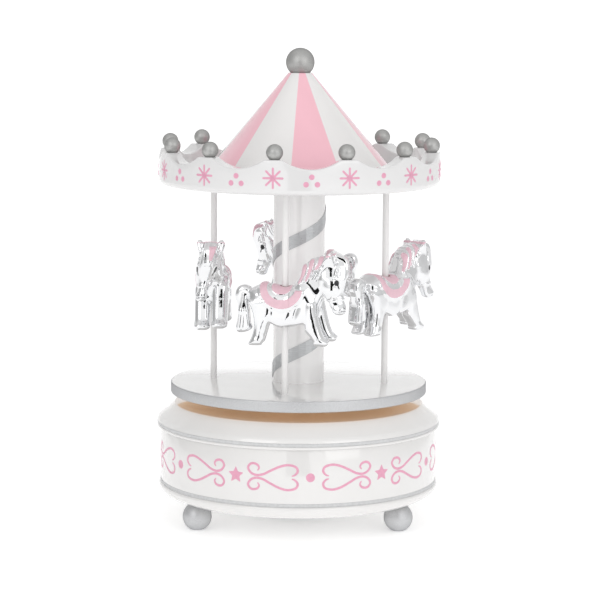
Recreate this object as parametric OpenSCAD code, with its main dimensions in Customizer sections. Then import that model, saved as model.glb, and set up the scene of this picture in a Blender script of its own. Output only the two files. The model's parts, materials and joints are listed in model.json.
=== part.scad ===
// Wind-up carousel music box: a painted wooden drum with a clockwork movement inside,
// and a turntable on top that carries a column, four horses on poles and a striped canopy.
// Millimetres, +Z up, origin on the floor under the column's axis, front towards -Y.

/* [Base] */
// Radius of the drum wall
drum_r = 51.8; // [51:0.1:52]
// Thickness of the drum wall
drum_wall = 5; // [4.5:0.5:5.5]
// Radius of the two mouldings that stand proud of the drum
moulding_r = 53.3; // [52.8:0.1:53.8]
// Radius of each ball foot
foot_r = 5.4; // [5:0.1:5.8]
// Radius of the circle the feet stand on
foot_circle_r = 43; // [42:0.5:43.5]
// Height of the bottom board above the floor
board_z = 9.5; // [9.2:0.1:9.8]
// How far the lid's top sinks from its rim towards the spindle
dish_drop = 1.4; // [1:0.1:1.8]

/* [Turntable] */
// Radius of the turntable
platform_r = 48; // [47:0.5:49]
// Thickness of the turntable
platform_h = 4.1; // [3.8:0.1:4.4]
// Radius of the hub under the turntable
hub_r = 12; // [11:0.5:13]
// Radius of the central column
column_r = 9.7; // [9:0.1:10]
// Width of the foil band wound round the column
band_w = 5; // [3:0.5:7]
// Rise of the foil band in one turn
band_lead = 42.2; // [38:0.2:46]

/* [Poles and horses] */
// Radius of each pole
pole_r = 1.2; // [1.1:0.05:1.3]
// Radius of the circle the poles stand on
pole_circle_r = 32.5; // [32:0.1:33]
// Angle of the front pole, clockwise from the front as seen from above
pole_turn = -8.8; // [-20:0.1:20]
// Heights of the hooves: front, right, rear and left horse
hoof_z = [71.2, 71.7, 76, 72.8]; // [65:0.1:85]
// Headings of the horses, counter-clockwise from +X: front, right, rear, left
horse_heading = [-7, 45, 172, 268]; // [-180:1:360]

/* [Canopy] */
// Height of the canopy's lower edge
canopy_z = 126.7; // [125:0.1:128]
// Outer radius of the scalloped ring
valance_r = 52.5; // [52:0.1:52.5]
// Thickness of the scalloped ring's wall
valance_wall = 6; // [5.5:0.5:6.5]
// Height of the ring at the tips of its scallops
peak_z = 139.3; // [138:0.1:140]
// Height of the ring at the valleys between them
valley_z = 136; // [135:0.1:137]
// Number of scallops, each with a bead on its tip
scallops = 12; // [10:1:14]
// Angle of the first bead from the front
scallop_turn = -10.3; // [-15:0.1:15]
// Radius of each bead
bead_r = 3; // [2.5:0.1:3.2]
// Radius of the spot on which a bead sits
bead_seat_r = 1.75; // [1.5:0.05:2]
// Radius of the circle the beads stand on
bead_circle_r = 49.4; // [49:0.1:49.8]
// Height of the flat top of the cone roof
cone_top_z = 167.9; // [165:0.1:168]
// Radius of the cone at that flat
cone_top_r = 4.4; // [4:0.1:4.8]
// Radius gained by the cone for each millimetre down
cone_slope = 0.843; // [0.8:0.001:0.86]
// Radius of the ball finial
finial_r = 5.3; // [5:0.1:5.5]

/* [Movement] */
// Module of the crown wheel and its pinion
crown_m = 0.6; // [0.6:0.1:0.6]
// Teeth of the crown wheel on the spring barrel
crown_teeth = 40; // [40:1:40]
// Teeth of the cylinder's pinion
pinion_teeth = 12; // [12:1:12]
// Module of the governor train
train_m = 0.4; // [0.4:0.1:0.4]
// Teeth of the wheel on the music cylinder
wheel_teeth = 36; // [36:1:36]
// Teeth of the governor arbor's pinion
leaf_teeth = 9; // [9:1:9]
// Module of the worm and its wheel
worm_m = 0.5; // [0.5:0.1:0.5]
// Teeth of the worm wheel
worm_wheel_teeth = 20; // [20:1:20]
// Number of notes, which is the number of comb teeth
notes = 18; // [12:1:18]
// Radius of the music cylinder
cylinder_r = 6.5; // [6:0.1:6.6]

/* [Hidden] */
$fn = 96;

// paint and metal colours
white_paint = [0.95, 0.94, 0.93];
silver_paint = [0.62, 0.63, 0.64];
bare_wood = [0.72, 0.56, 0.42];
pink_paint = [0.95, 0.72, 0.79];
chrome_plate = [0.86, 0.87, 0.89];
steel = [0.66, 0.67, 0.70];
brass_metal = [0.80, 0.64, 0.32];
zinc = [0.58, 0.59, 0.61];

// heights up the object
drum_z0 = 15.2;
drum_z1 = 35.8;
lid_under_z = 39;
lid_rim_z = 44.7;
lid_rim_r = 46.2;
hub_z = lid_rim_z - dish_drop + 0.8;
platform_z = 48.5;
deck_z = platform_z + platform_h;
bay_r = drum_r - drum_wall;
foot_z = 4.8;
canopy_floor = 3;
cone_base_r = cone_top_r + cone_slope * (cone_top_z - canopy_z - canopy_floor);
eps = 0.01;

// shafts: radius, and the clearance of a running fit
spindle_r = 3;
arbor_r = 2.2;
thin_arbor_r = 1;
pivot_r = 0.8;
run = 0.05;

// places of the movement's parts
plate_h = 1.8;
plate_z = drum_z0 + plate_h;
barrel_r = 11;
barrel_z0 = 18.2;
crown_face_z = 27;
crown_pitch_z = crown_face_z + 1.15 * crown_m;
crown_r = crown_m * crown_teeth / 2;
axis_z = crown_pitch_z + crown_m * pinion_teeth / 2;
bracket_t = 1.2;
inner_bracket_y = 14.8;
outer_bracket_y = 33.6;
cylinder_y0 = 16.8;
cylinder_y1 = 33;
gear_y = 35.4;
worm_wheel_y = 37.8;
cock_y = 39.4;
governor_x = train_m * (wheel_teeth + leaf_teeth) / 2;
worm_pitch_r = 1.5;
worm_x = governor_x + worm_m * worm_wheel_teeth / 2 + worm_pitch_r;
worm_lead = PI * worm_m;
fan_z0 = 20;
fan_z1 = 25;
pin_h = 0.55;
comb_gap = 0.15;
comb_tip_x = -(cylinder_r + pin_h + comb_gap);
comb_length = 10;
comb_z = axis_z - 0.5;

// point on a circle, angle measured clockwise from the front as seen from above
function round_from_front(r, a) = [r * sin(a), -r * cos(a)];

// ---- shared shapes ----

module ring_of(n, turn, r) {
    for (i = [0 : n - 1]) {
        p = round_from_front(r, turn + i * 360 / n);
        translate([p.x, p.y, 0]) rotate(turn + i * 360 / n) children();
    }
}

// a pipe or disc between two heights
module sleeve(r, bore, z0, z1) {
    translate([0, 0, z0]) difference() {
        cylinder(r = r, h = z1 - z0);
        translate([0, 0, -1]) cylinder(r = bore, h = z1 - z0 + 2);
    }
}

// wood screw pointing up: countersunk head, slotted, with a plain shank
module screw_up(head_r, shank_r, length) {
    difference() {
        union() {
            cylinder(r1 = head_r, r2 = shank_r, h = head_r - shank_r);
            cylinder(r = shank_r, h = length);
        }
        translate([-head_r, -0.2, -eps]) cube([2 * head_r, 0.4, 0.4]);
    }
}

module screw_hole(head_r, shank_r, length) {
    translate([0, 0, -1]) cylinder(r = head_r, h = 1 + eps);
    cylinder(r1 = head_r, r2 = shank_r, h = head_r - shank_r);
    cylinder(r = shank_r, h = length);
}

// straight-flanked gear outline, a tooth at angle turn
function gear_points(teeth, m, turn) = let (
    r0 = m * teeth / 2 - 1.1 * m, r1 = m * teeth / 2 + 0.8 * m, pitch = 360 / teeth
) [
    for (i = [0 : teeth - 1], s = [[r0, -0.27], [r1, -0.09], [r1, 0.09], [r0, 0.27]])
        s[0] * [cos(turn + (i + s[1]) * pitch), sin(turn + (i + s[1]) * pitch)]
];

// gear on an axis along +Y from y0 to y1; its drawing plane's X and Y become X and Z
module gear_along_y(teeth, m, turn, bore, y0, y1) {
    rotate([90, 0, 0]) translate([0, 0, -y1]) difference() {
        linear_extrude(y1 - y0) polygon(gear_points(teeth, m, turn));
        translate([0, 0, -1]) cylinder(r = bore, h = y1 - y0 + 2, $fn = 48);
    }
}

module rod_along_y(r, y0, y1) {
    translate([0, y1, 0]) rotate([90, 0, 0]) cylinder(r = r, h = y1 - y0, $fn = 48);
}

// a wire or thread wound up the Z axis: section is a ring of [radius, height] points
module wound(section, lead, turns, steps) {
    n = len(section);
    rings = ceil(turns * steps);
    points = [
        for (k = [0 : rings], p = section)
            let (a = 360 * k / steps)
            [p[0] * cos(a), p[0] * sin(a), p[1] + lead * a / 360]
    ];
    sides = [
        for (k = [0 : rings - 1], i = [0 : n - 1])
            let (j = (i + 1) % n)
            [[k * n + i, k * n + j, (k + 1) * n + j], [k * n + i, (k + 1) * n + j, (k + 1) * n + i]]
    ];
    caps = [[for (i = [n - 1 : -1 : 0]) i], [for (i = [0 : n - 1]) rings * n + i]];
    polyhedron(points, concat([for (s = sides, f = s) f], caps));
}

// ---- base ----

module ball_feet() {
    color(silver_paint)
        ring_of(3, 60, foot_circle_r)
            intersection() {
                translate([0, 0, foot_z]) sphere(r = foot_r);
                translate([-10, -10, 0]) cube([20, 20, board_z]);
            }
}

// three screws hold the bedplate down through the board
module movement_screw_places() {
    for (p = [[-13, -11], [13, -11], [0, 30]]) translate([p.x, p.y, board_z]) children();
}

module base_plinth() {
    top = drum_z0;
    outline = concat(
        [[0, board_z], [44, board_z]],
        [for (a = [0 : 10 : 90]) [44 + 7.6 * sin(a), 14 - 4.4 * cos(a)]],
        [for (a = [15 : 25 : 90]) [drum_r + cos(a), 14.2 + sin(a)]],
        [[drum_r - 0.4, top], [0, top]]
    );
    color(white_paint) difference() {
        rotate_extrude() polygon(outline);
        translate([0, 0, board_z - 1]) cylinder(r = 7, h = 10);
        movement_screw_places() screw_hole(2.4, 1.3, 10);
    }
}

module base_drum() {
    color(white_paint) sleeve(drum_r, bay_r, drum_z0, drum_z1);
}

module base_lid() {
    r = moulding_r;
    outline = concat(
        [[drum_r, drum_z1], [r - 0.5, drum_z1 + 0.1]],
        [for (a = [-60 : 30 : 60]) [r - 0.45 + 0.45 * cos(a), drum_z1 + 0.6 + 0.45 * sin(a)]],
        [for (a = [0 : 15 : 45]) [r - 2.6 + 2.6 * cos(a), drum_z1 + 1.5 + 2.6 * sin(a)]],
        [for (a = [45 : 15 : 90]) [lid_rim_r + 0.9 * cos(a), lid_rim_z - 0.9 + 0.9 * sin(a)]],
        [[12, lid_rim_z - dish_drop], [0, lid_rim_z - dish_drop]],
        [[0, lid_under_z], [bay_r, lid_under_z], [bay_r, drum_z1]]
    );
    color(white_paint) difference() {
        rotate_extrude() polygon(outline);
        translate([0, 0, lid_under_z - 1]) cylinder(r = 4.5, h = 10);
    }
}

module spindle_bush() {
    top = lid_rim_z - dish_drop;
    color(brass_metal) difference() {
        union() {
            translate([0, 0, lid_under_z - 0.8]) cylinder(r = 6, h = 0.8);
            translate([0, 0, lid_under_z - eps]) cylinder(r = 4.5, h = top - lid_under_z + eps);
        }
        translate([0, 0, lid_under_z - 2]) cylinder(r = spindle_r + run, h = 10);
    }
}

module movement_screws() {
    color(steel) movement_screw_places() screw_up(2.4, 1.3, plate_z - board_z + 0.8);
}

// ---- movement frame ----

module bedplate() {
    color(zinc) difference() {
        translate([-17, -16, drum_z0]) cube([36, 56, plate_h]);
        translate([0, 0, drum_z0 - 1]) cylinder(r = arbor_r + run, h = 4);
        movement_screw_places() cylinder(r = 1.3, h = 10);
    }
}

module comb_block() {
    color(zinc) difference() {
        translate([comb_tip_x - comb_length, cylinder_y0, plate_z])
            cube([4, cylinder_y1 - cylinder_y0, comb_z - plate_z]);
        comb_screw_places() translate([0, 0, -5]) cylinder(r = 0.8, h = 10, $fn = 48);
    }
}

module comb_screw_places() {
    middle = (cylinder_y0 + cylinder_y1) / 2;
    for (s = [-1, 1])
        translate([comb_tip_x - comb_length + 2, middle + s * 5, comb_z]) children();
}

module comb() {
    width = cylinder_y1 - cylinder_y0;
    pitch = width / notes;
    slot = 0.3;
    color(steel) difference() {
        translate([comb_tip_x - comb_length, cylinder_y0, comb_z])
            cube([comb_length, width, 1]);
        for (i = [1 : notes - 1])
            translate([comb_tip_x - comb_length + 4.5, cylinder_y0 + i * pitch - slot / 2, comb_z - 1])
                cube([comb_length, slot, 3]);
        comb_screw_places() translate([0, 0, -1]) cylinder(r = 0.8, h = 3, $fn = 48);
    }
}

module comb_screws() {
    color(brass_metal) comb_screw_places() {
        translate([0, 0, -4]) cylinder(r = 0.8, h = 4 + 1, $fn = 48);
        translate([0, 0, 1]) difference() {
            cylinder(r = 1.6, h = 1, $fn = 48);
            translate([-2, -0.2, 0.6]) cube([4, 0.4, 1]);
        }
    }
}

// upright plate with bearing holes; holes is a list of [x, radius]
module upright(x0, x1, y, top, holes) {
    color(brass_metal) difference() {
        translate([x0, y, plate_z]) cube([x1 - x0, bracket_t, top - plate_z]);
        for (h = holes)
            translate([h[0], 0, axis_z]) rod_along_y(h[1], y - 1, y + bracket_t + 1);
    }
}

module inner_bracket() {
    upright(-3, 3, inner_bracket_y, axis_z + 3, [[0, thin_arbor_r + run]]);
}

module outer_bracket() {
    upright(-3, governor_x + 2, outer_bracket_y, axis_z + 3,
        [[0, thin_arbor_r + run], [governor_x, pivot_r + run]]);
}

module governor_cock() {
    upright(governor_x - 2.5, governor_x + 2.5, cock_y, axis_z + 3, [[governor_x, pivot_r + run]]);
}

module worm_bracket() {
    web_y = 31.8;
    lug = [5, worm_wheel_y + 2 - web_y, 1];
    color(brass_metal) difference() {
        union() {
            translate([worm_x - 2.5, web_y, plate_z]) cube([5, bracket_t, 37.8 - plate_z]);
            translate([worm_x - 2.5, web_y, plate_z]) cube(lug);
            translate([worm_x - 2.5, web_y, 36.8]) cube(lug);
        }
        translate([worm_x, worm_wheel_y, plate_z - 1])
            cylinder(r = pivot_r + run, h = 30, $fn = 48);
    }
}

// wrap spring that lets the key turn one way only
module clutch_spring() {
    wire = 0.35;
    section = [for (a = [0 : 45 : 315]) [arbor_r + 0.1 + wire * (1.1 - cos(a)), wire * sin(a)]];
    color(steel) translate([0, 0, 11]) wound(section, 0.95, 3.8, 24);
}

// ---- key ----

module winding_arbor() {
    color(steel) {
        translate([0, 0, 6.6]) cylinder(r = arbor_r, h = 25.4 - 6.6);
        translate([0, 0, plate_z + run]) cylinder(r = 3.6, h = barrel_z0 - plate_z - 0.3);
    }
}

module winding_key() {
    wing_z = 4.9;
    color(steel) difference() {
        union() {
            translate([0, 0, 2]) cylinder(r = 3.4, h = 6.9);
            for (s = [-1, 1]) translate([s * 7.2, 0, wing_z]) rotate([90, 0, 0])
                scale([1.7, 1, 1]) translate([0, 0, -0.8]) cylinder(r = 3.4, h = 1.6);
        }
        for (s = [-1, 1]) translate([s * 8.2, 0, wing_z]) rotate([90, 0, 0])
            translate([0, 0, -2]) cylinder(r = 1.9, h = 4);
        translate([0, 0, 6.6]) cylinder(r = arbor_r, h = 4);
    }
}

// ---- spring barrel and spindle ----

module spring_barrel() {
    tooth = crown_m * PI * 0.5;
    color(brass_metal) {
        difference() {
            union() {
                translate([0, 0, barrel_z0]) cylinder(r = barrel_r, h = crown_face_z - barrel_z0);
                translate([0, 0, crown_face_z - 1.2]) cylinder(r = 13.6, h = 1.2);
            }
            translate([0, 0, barrel_z0 - 1]) cylinder(r = barrel_r - 1, h = 8.8);
        }
        difference() {
            for (i = [0 : crown_teeth - 1]) rotate(i * 360 / crown_teeth)
                translate([crown_r + 1.5, 0, crown_face_z - eps]) rotate([90, 0, -90])
                    linear_extrude(3) polygon([
                        [-tooth / 2, 0], [tooth / 2, 0], [tooth * 0.17, 1.9 * crown_m],
                        [-tooth * 0.17, 1.9 * crown_m]
                    ]);
            translate([0, 0, crown_face_z - 1]) cylinder(r = 10.5, h = 5);
        }
    }
}

module barrel_cap() {
    color(brass_metal) sleeve(barrel_r - 1, arbor_r + run, barrel_z0, barrel_z0 + 0.9);
}

module mainspring() {
    turns = 6;
    steps = 20;
    strip = 0.35;
    rise = (barrel_r - 1.1 - strip - arbor_r - 0.3) / turns;
    function coil(a, off) = (arbor_r + 0.3 + off + rise * a / 360) * [cos(a), sin(a)];
    color(steel) translate([0, 0, barrel_z0 + 1.2]) linear_extrude(6.3) polygon(concat(
        [for (k = [0 : turns * steps]) coil(k * 360 / steps, 0)],
        [for (k = [turns * steps : -1 : 0]) coil(k * 360 / steps, strip)]
    ));
}

module drive_spindle() {
    color(steel) {
        translate([0, 0, crown_face_z]) cylinder(r = spindle_r, h = deck_z + 12 - crown_face_z);
        translate([0, 0, crown_face_z]) cylinder(r = 5, h = 2);
    }
}

// ---- turntable ----

module hub_screw_places() {
    for (a = [30, 150, 270]) rotate(a) translate([8, 0, hub_z]) children();
}

module platform_hub() {
    color(bare_wood) difference() {
        sleeve(hub_r, spindle_r, hub_z, platform_z);
        hub_screw_places() screw_hole(2, 1, 10);
    }
}

module hub_screws() {
    color(steel) hub_screw_places() screw_up(2, 1, 6);
}

module platform() {
    bead = 0.5;
    outline = concat(
        [[spindle_r, platform_z]],
        [for (a = [-90 : 30 : 0]) [platform_r - bead + bead * cos(a), platform_z + bead + bead * sin(a)]],
        [for (a = [0 : 30 : 90]) [platform_r - bead + bead * cos(a), deck_z - bead + bead * sin(a)]],
        [[spindle_r, deck_z]]
    );
    color(white_paint) difference() {
        rotate_extrude() polygon(outline);
        hub_screw_places() cylinder(r = 1, h = 6);
        pole_places() translate([0, 0, deck_z - 2]) cylinder(r = pole_r, h = 5);
    }
}

module column() {
    color(white_paint) difference() {
        translate([0, 0, deck_z]) cylinder(r = column_r, h = canopy_z - deck_z);
        translate([0, 0, deck_z - 1]) cylinder(r = spindle_r, h = 13);
    }
}

// foil strip wound up the column by hand, so its rise sways a little in each turn
module spiral_band() {
    steps = 24;
    inner = (column_r + 0.03) / cos(180 / steps);
    outer = inner + 0.15;
    first = -480;
    last = 180;
    sway = 2.05;
    count = floor((last - first) * steps / 360);
    function middle(a) = 107 + band_lead * a / 360 - sway * sin(a);
    function low(a) = min(max(middle(a) - band_w / 2, deck_z + 0.1), canopy_z - 0.3);
    function high(a) = max(min(middle(a) + band_w / 2, canopy_z - 0.1), deck_z + 0.3);
    angles = [for (k = [0 : count]) first + k * 360 / steps];
    points = [
        for (a = angles, c = [[inner, low(a)], [outer, low(a)], [outer, high(a)], [inner, high(a)]])
            [c[0] * sin(a), -c[0] * cos(a), c[1]]
    ];
    sides = [
        for (k = [0 : count - 1], i = [0 : 3])
            let (j = (i + 1) % 4)
            [[4 * k + i, 4 * k + j, 4 * k + 4 + j], [4 * k + i, 4 * k + 4 + j, 4 * k + 4 + i]]
    ];
    caps = [[3, 2, 1, 0], [for (i = [0 : 3]) 4 * count + i]];
    color(silver_paint) polyhedron(points, concat([for (s = sides, f = s) f], caps));
}

// ---- poles and horses ----

function pole_at(i) = round_from_front(pole_circle_r, pole_turn + 90 * i);

module pole_places() {
    for (i = [0 : 3]) translate([pole_at(i).x, pole_at(i).y, 0]) children();
}

module pole(i) {
    color(white_paint) translate([pole_at(i).x, pole_at(i).y, deck_z - 2])
        cylinder(r = pole_r, h = canopy_z + 2 - deck_z + 2, $fn = 48);
}

// upright slab of a horse between two distances from its middle
module slab(outline, y0, y1) {
    translate([0, y1, 0]) rotate([90, 0, 0]) linear_extrude(y1 - y0) polygon(outline);
}

// one horse: it faces +X with its pole through the origin and its hooves at z = 0
module horse_body() {
    trunk = [
        [-12.9, 18.5], [-12.4, 20], [-10.2, 21.4], [-7, 22.2], [-4.5, 21.4], [0, 20.4], [3, 21.2], [4.5, 22.1],
        [12.3, 19], [12.5, 13], [11.8, 10.3], [9, 8.3], [5.6, 7.5], [2.2, 6.6], [-2.2, 6.6], [-5.1, 8], [-11.4, 12.8]
    ];
    neck = [
        [2.5, 19], [4.5, 22.1], [4.9, 24.2], [6.5, 28.2], [9, 30.4], [11.4, 31.6], [15.1, 32.6], [17.6, 33.3],
        [19, 31.9], [17.5, 24], [15.4, 19], [14.5, 18.7], [12.3, 15]
    ];
    head = [
        [13.5, 31], [17.6, 33.3], [20.4, 32.2], [21.9, 31.2], [22.7, 28.9], [22.8, 25], [21.4, 19.5], [21.9, 16.2],
        [22.5, 14.4], [22.4, 11.9], [19.8, 11.3], [17.9, 12.2], [17.1, 14.7], [15.4, 17.1], [13.5, 23]
    ];
    foreleg = [
        [8, 15], [7.4, 6.6], [9.3, 3.5], [10.8, 1.7], [11.2, 0], [15.6, 0], [16.4, 1.7], [14.5, 3.5], [13.4, 6.9],
        [12.3, 12]
    ];
    hind_leg = [
        [-12.7, 16.5], [-11.4, 12.8], [-10.8, 8.2], [-11.1, 5.1], [-12, 2], [-13, 0], [-8, 0], [-6.8, 3.5],
        [-5.1, 8.6], [-4, 12], [-5, 17]
    ];
    tail = [
        [-12, 18], [-13, 20.9], [-16, 21.3], [-17.7, 19.6], [-18.1, 17.1], [-17.3, 14.7], [-17, 11.6], [-17.4, 8.2],
        [-17.9, 5.4], [-16.7, 4], [-14.2, 4.3], [-12, 5.6], [-13, 9], [-13.3, 15]
    ];
    ear = [[13.4, 28], [16.8, 28], [17.1, 33.9], [16.2, 33.9]];
    slab(trunk, -5.8, 5.8);
    slab(neck, -4, 4);
    // the head leans to the horse's right
    translate([0, 0, 31]) rotate([-9.6, 0, 0]) translate([0, 0, -31]) slab(head, -3.1, 3.1);
    slab(tail, -2.5, 2.5);
    for (s = [-1, 1]) {
        y0 = s < 0 ? -6.4 : 0.2;
        slab(hind_leg, y0, y0 + 6.2);
        translate([s < 0 ? 0 : 2.4, 0, s < 0 ? 0 : 1]) slab(foreleg, y0, y0 + 6.2);
        slab(ear, s < 0 ? -4.4 : 2, s < 0 ? -2 : 4.4);
    }
}

module horse(i) {
    color(chrome_plate) difference() {
        translate([pole_at(i).x, pole_at(i).y, hoof_z[i]]) rotate(horse_heading[i]) horse_body();
        translate([pole_at(i).x, pole_at(i).y, deck_z]) cylinder(r = pole_r, h = 100, $fn = 24);
    }
}

module pole_front() { pole(0); }
module pole_right() { pole(1); }
module pole_rear() { pole(2); }
module pole_left() { pole(3); }
module horse_front() { horse(0); }
module horse_right() { horse(1); }
module horse_rear() { horse(2); }
module horse_left() { horse(3); }

// ---- canopy ----

module canopy_valance() {
    corner = 2.2;
    span = valance_r * sin(180 / scallops) * 0.76;
    dip = peak_z - valley_z;
    dip_r = (span * span + dip * dip) / (2 * dip);
    outline = concat(
        [[0, canopy_z]],
        [for (a = [-90 : 15 : 0])
            [valance_r - corner + corner * cos(a), canopy_z + corner + corner * sin(a)]],
        [[valance_r, peak_z], [valance_r - valance_wall, peak_z]],
        [[valance_r - valance_wall, canopy_z + canopy_floor], [0, canopy_z + canopy_floor]]
    );
    color(white_paint) difference() {
        rotate_extrude() polygon(outline);
        ring_of(scallops, scallop_turn + 180 / scallops, 44)
            translate([0, 0, valley_z + dip_r]) rotate([90, 0, 0]) cylinder(r = dip_r, h = 14);
        pole_places() translate([0, 0, canopy_z - 1]) cylinder(r = pole_r, h = 3);
    }
}

module rim_beads() {
    sit = peak_z + sqrt(bead_r * bead_r - bead_seat_r * bead_seat_r);
    color(silver_paint) ring_of(scallops, scallop_turn, bead_circle_r)
        intersection() {
            translate([0, 0, sit]) sphere(r = bead_r, $fn = 64);
            translate([-5, -5, peak_z]) cube(10);
        }
}

module canopy_cone() {
    floor_z = canopy_z + canopy_floor;
    color(pink_paint) difference() {
        translate([0, 0, floor_z]) cylinder(r1 = cone_base_r, r2 = cone_top_r, h = cone_top_z - floor_z);
        translate([0, 0, cone_top_z - 8]) cylinder(r = 1.5, h = 10);
    }
}

module finial_ball() {
    sit = cone_top_z + sqrt(finial_r * finial_r - 3.6 * 3.6);
    color(silver_paint) {
        intersection() {
            translate([0, 0, sit]) sphere(r = finial_r);
            translate([-10, -10, cone_top_z]) cube(20);
        }
        translate([0, 0, cone_top_z - 8]) cylinder(r = 1.5, h = 9);
    }
}

// ---- cylinder, governor and fan ----

module at_axis(x) {
    translate([x, 0, axis_z]) children();
}

module cylinder_arbor() {
    color(steel) at_axis(0) rod_along_y(thin_arbor_r, 10.4, 37.4);
}

module crown_pinion() {
    color(steel) at_axis(0)
        gear_along_y(pinion_teeth, crown_m, 180 / pinion_teeth, thin_arbor_r, crown_r - 1, crown_r + 1);
}

// brass cylinder; its pins lie in one ring for each comb tooth
module music_cylinder() {
    pitch = (cylinder_y1 - cylinder_y0) / notes;
    color(brass_metal) at_axis(0) {
        difference() {
            rod_along_y(cylinder_r, cylinder_y0, cylinder_y1);
            rod_along_y(cylinder_r - 0.8, cylinder_y0 + 1, cylinder_y1 - 1);
            rod_along_y(thin_arbor_r, cylinder_y0 - 1, cylinder_y1 + 1);
        }
        for (i = [0 : notes - 1], k = [0 : 1])
            translate([0, cylinder_y0 + (i + 0.5) * pitch, 0])
                rotate([0, 35 + (i * i * 47 + k * 149) % 360, 0])
                    translate([0, 0, cylinder_r - 0.4]) cylinder(r = 0.15, h = 0.4 + pin_h, $fn = 16);
    }
}

module cylinder_gear() {
    color(brass_metal) at_axis(0)
        gear_along_y(wheel_teeth, train_m, 0, thin_arbor_r, gear_y, gear_y + 1.2);
}

module governor_arbor() {
    color(steel) at_axis(governor_x) {
        rod_along_y(pivot_r, outer_bracket_y, cock_y + bracket_t);
        gear_along_y(leaf_teeth, train_m, 0, pivot_r - eps, gear_y - 0.2, gear_y + 1.4);
    }
}

module worm_wheel() {
    color(brass_metal) at_axis(governor_x)
        gear_along_y(worm_wheel_teeth, worm_m, 180 / worm_wheel_teeth, pivot_r,
            worm_wheel_y - 0.3, worm_wheel_y + 0.3);
}

module governor_worm() {
    turns = 3.5;
    root = worm_pitch_r - 1.1 * worm_m;
    tip = worm_pitch_r + 0.8 * worm_m;
    section = [[root - 0.1, -0.45], [tip, -0.13], [tip, 0.13], [root - 0.1, 0.45]];
    color(steel) translate([worm_x, worm_wheel_y, 0]) {
        translate([0, 0, plate_z + 0.05]) cylinder(r = pivot_r, h = 20.7, $fn = 48);
        translate([0, 0, axis_z - 3.6]) cylinder(r = root, h = 7.2, $fn = 48);
        translate([0, 0, axis_z - worm_lead * (turns / 2)]) rotate(180 - 360 * (turns / 2))
            wound(section, worm_lead, turns, 24);
    }
}

module fan_blades() {
    reach = 3.6;
    color(brass_metal) translate([worm_x, worm_wheel_y, fan_z0]) difference() {
        union() {
            cylinder(r = 1.5, h = fan_z1 - fan_z0, $fn = 48);
            translate([-reach, -0.2, 0]) cube([2 * reach, 0.4, fan_z1 - fan_z0]);
        }
        translate([0, 0, -1]) cylinder(r = pivot_r, h = 10, $fn = 48);
    }
}

ball_feet();
base_plinth();
base_drum();
base_lid();
spindle_bush();
movement_screws();
bedplate();
comb_block();
comb();
comb_screws();
inner_bracket();
outer_bracket();
governor_cock();
worm_bracket();
clutch_spring();
winding_arbor();
winding_key();
spring_barrel();
barrel_cap();
mainspring();
drive_spindle();
platform_hub();
hub_screws();
platform();
column();
spiral_band();
pole_front();
pole_right();
pole_rear();
pole_left();
horse_front();
horse_right();
horse_rear();
horse_left();
canopy_valance();
rim_beads();
canopy_cone();
finial_ball();
cylinder_arbor();
crown_pinion();
music_cylinder();
cylinder_gear();
governor_arbor();
worm_wheel();
governor_worm();
fan_blades();
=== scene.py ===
"""Looks of the wind-up carousel music box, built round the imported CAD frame. Metres."""
import json
import math
import bmesh
import bpy
import numpy as np
from mathutils import Matrix, Vector


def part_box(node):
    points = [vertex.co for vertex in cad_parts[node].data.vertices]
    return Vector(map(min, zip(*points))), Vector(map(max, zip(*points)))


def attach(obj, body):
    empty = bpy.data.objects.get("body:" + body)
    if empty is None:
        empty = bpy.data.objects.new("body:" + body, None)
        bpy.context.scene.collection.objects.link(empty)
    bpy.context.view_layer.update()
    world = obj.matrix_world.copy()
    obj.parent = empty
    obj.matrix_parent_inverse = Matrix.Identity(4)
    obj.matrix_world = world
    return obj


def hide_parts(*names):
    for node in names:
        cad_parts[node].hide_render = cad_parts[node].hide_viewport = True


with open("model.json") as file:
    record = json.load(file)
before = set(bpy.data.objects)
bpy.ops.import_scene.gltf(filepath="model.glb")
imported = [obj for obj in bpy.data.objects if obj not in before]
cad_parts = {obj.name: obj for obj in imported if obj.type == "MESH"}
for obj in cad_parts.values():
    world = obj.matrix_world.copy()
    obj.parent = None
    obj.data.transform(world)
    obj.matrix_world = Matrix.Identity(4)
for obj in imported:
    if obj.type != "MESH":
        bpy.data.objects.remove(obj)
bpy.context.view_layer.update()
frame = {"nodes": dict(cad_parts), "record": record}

MM = 0.001
SEGMENTS = 256
PINK_TINT = (0.95, 0.53, 0.61)
INK_TINT = (0.77, 0.36, 0.49)


# ---------------------------------------------------------------- camera and studio

def aimed(place, target):
    """Matrix of a camera or a lamp at place that looks at target."""
    return Matrix.Translation(place) @ (target - place).to_track_quat("-Z", "Y").to_matrix().to_4x4()


def make_camera():
    """The photograph's view: almost level, turned a little about its own axis."""
    data = bpy.data.cameras.new("camera")
    data.lens = 144.9
    data.sensor_width = 36
    data.clip_start = 0.05
    camera = bpy.data.objects.new("camera", data)
    bpy.context.scene.collection.objects.link(camera)
    place = Vector((0.0004, -0.898, 0.2038))
    target = Vector((0.0004, 0, 0.0829))
    roll = math.radians(0.33)
    camera.matrix_world = aimed(place, target) @ Matrix.Rotation(roll, 4, "Z")
    bpy.context.scene.camera = camera


def area_light(name, place, target, size, watts):
    data = bpy.data.lights.new(name, "AREA")
    data.shape = "RECTANGLE"
    data.size, data.size_y = size
    data.energy = watts
    lamp = bpy.data.objects.new(name, data)
    bpy.context.scene.collection.objects.link(lamp)
    lamp.matrix_world = aimed(Vector(place), Vector(target))


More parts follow.
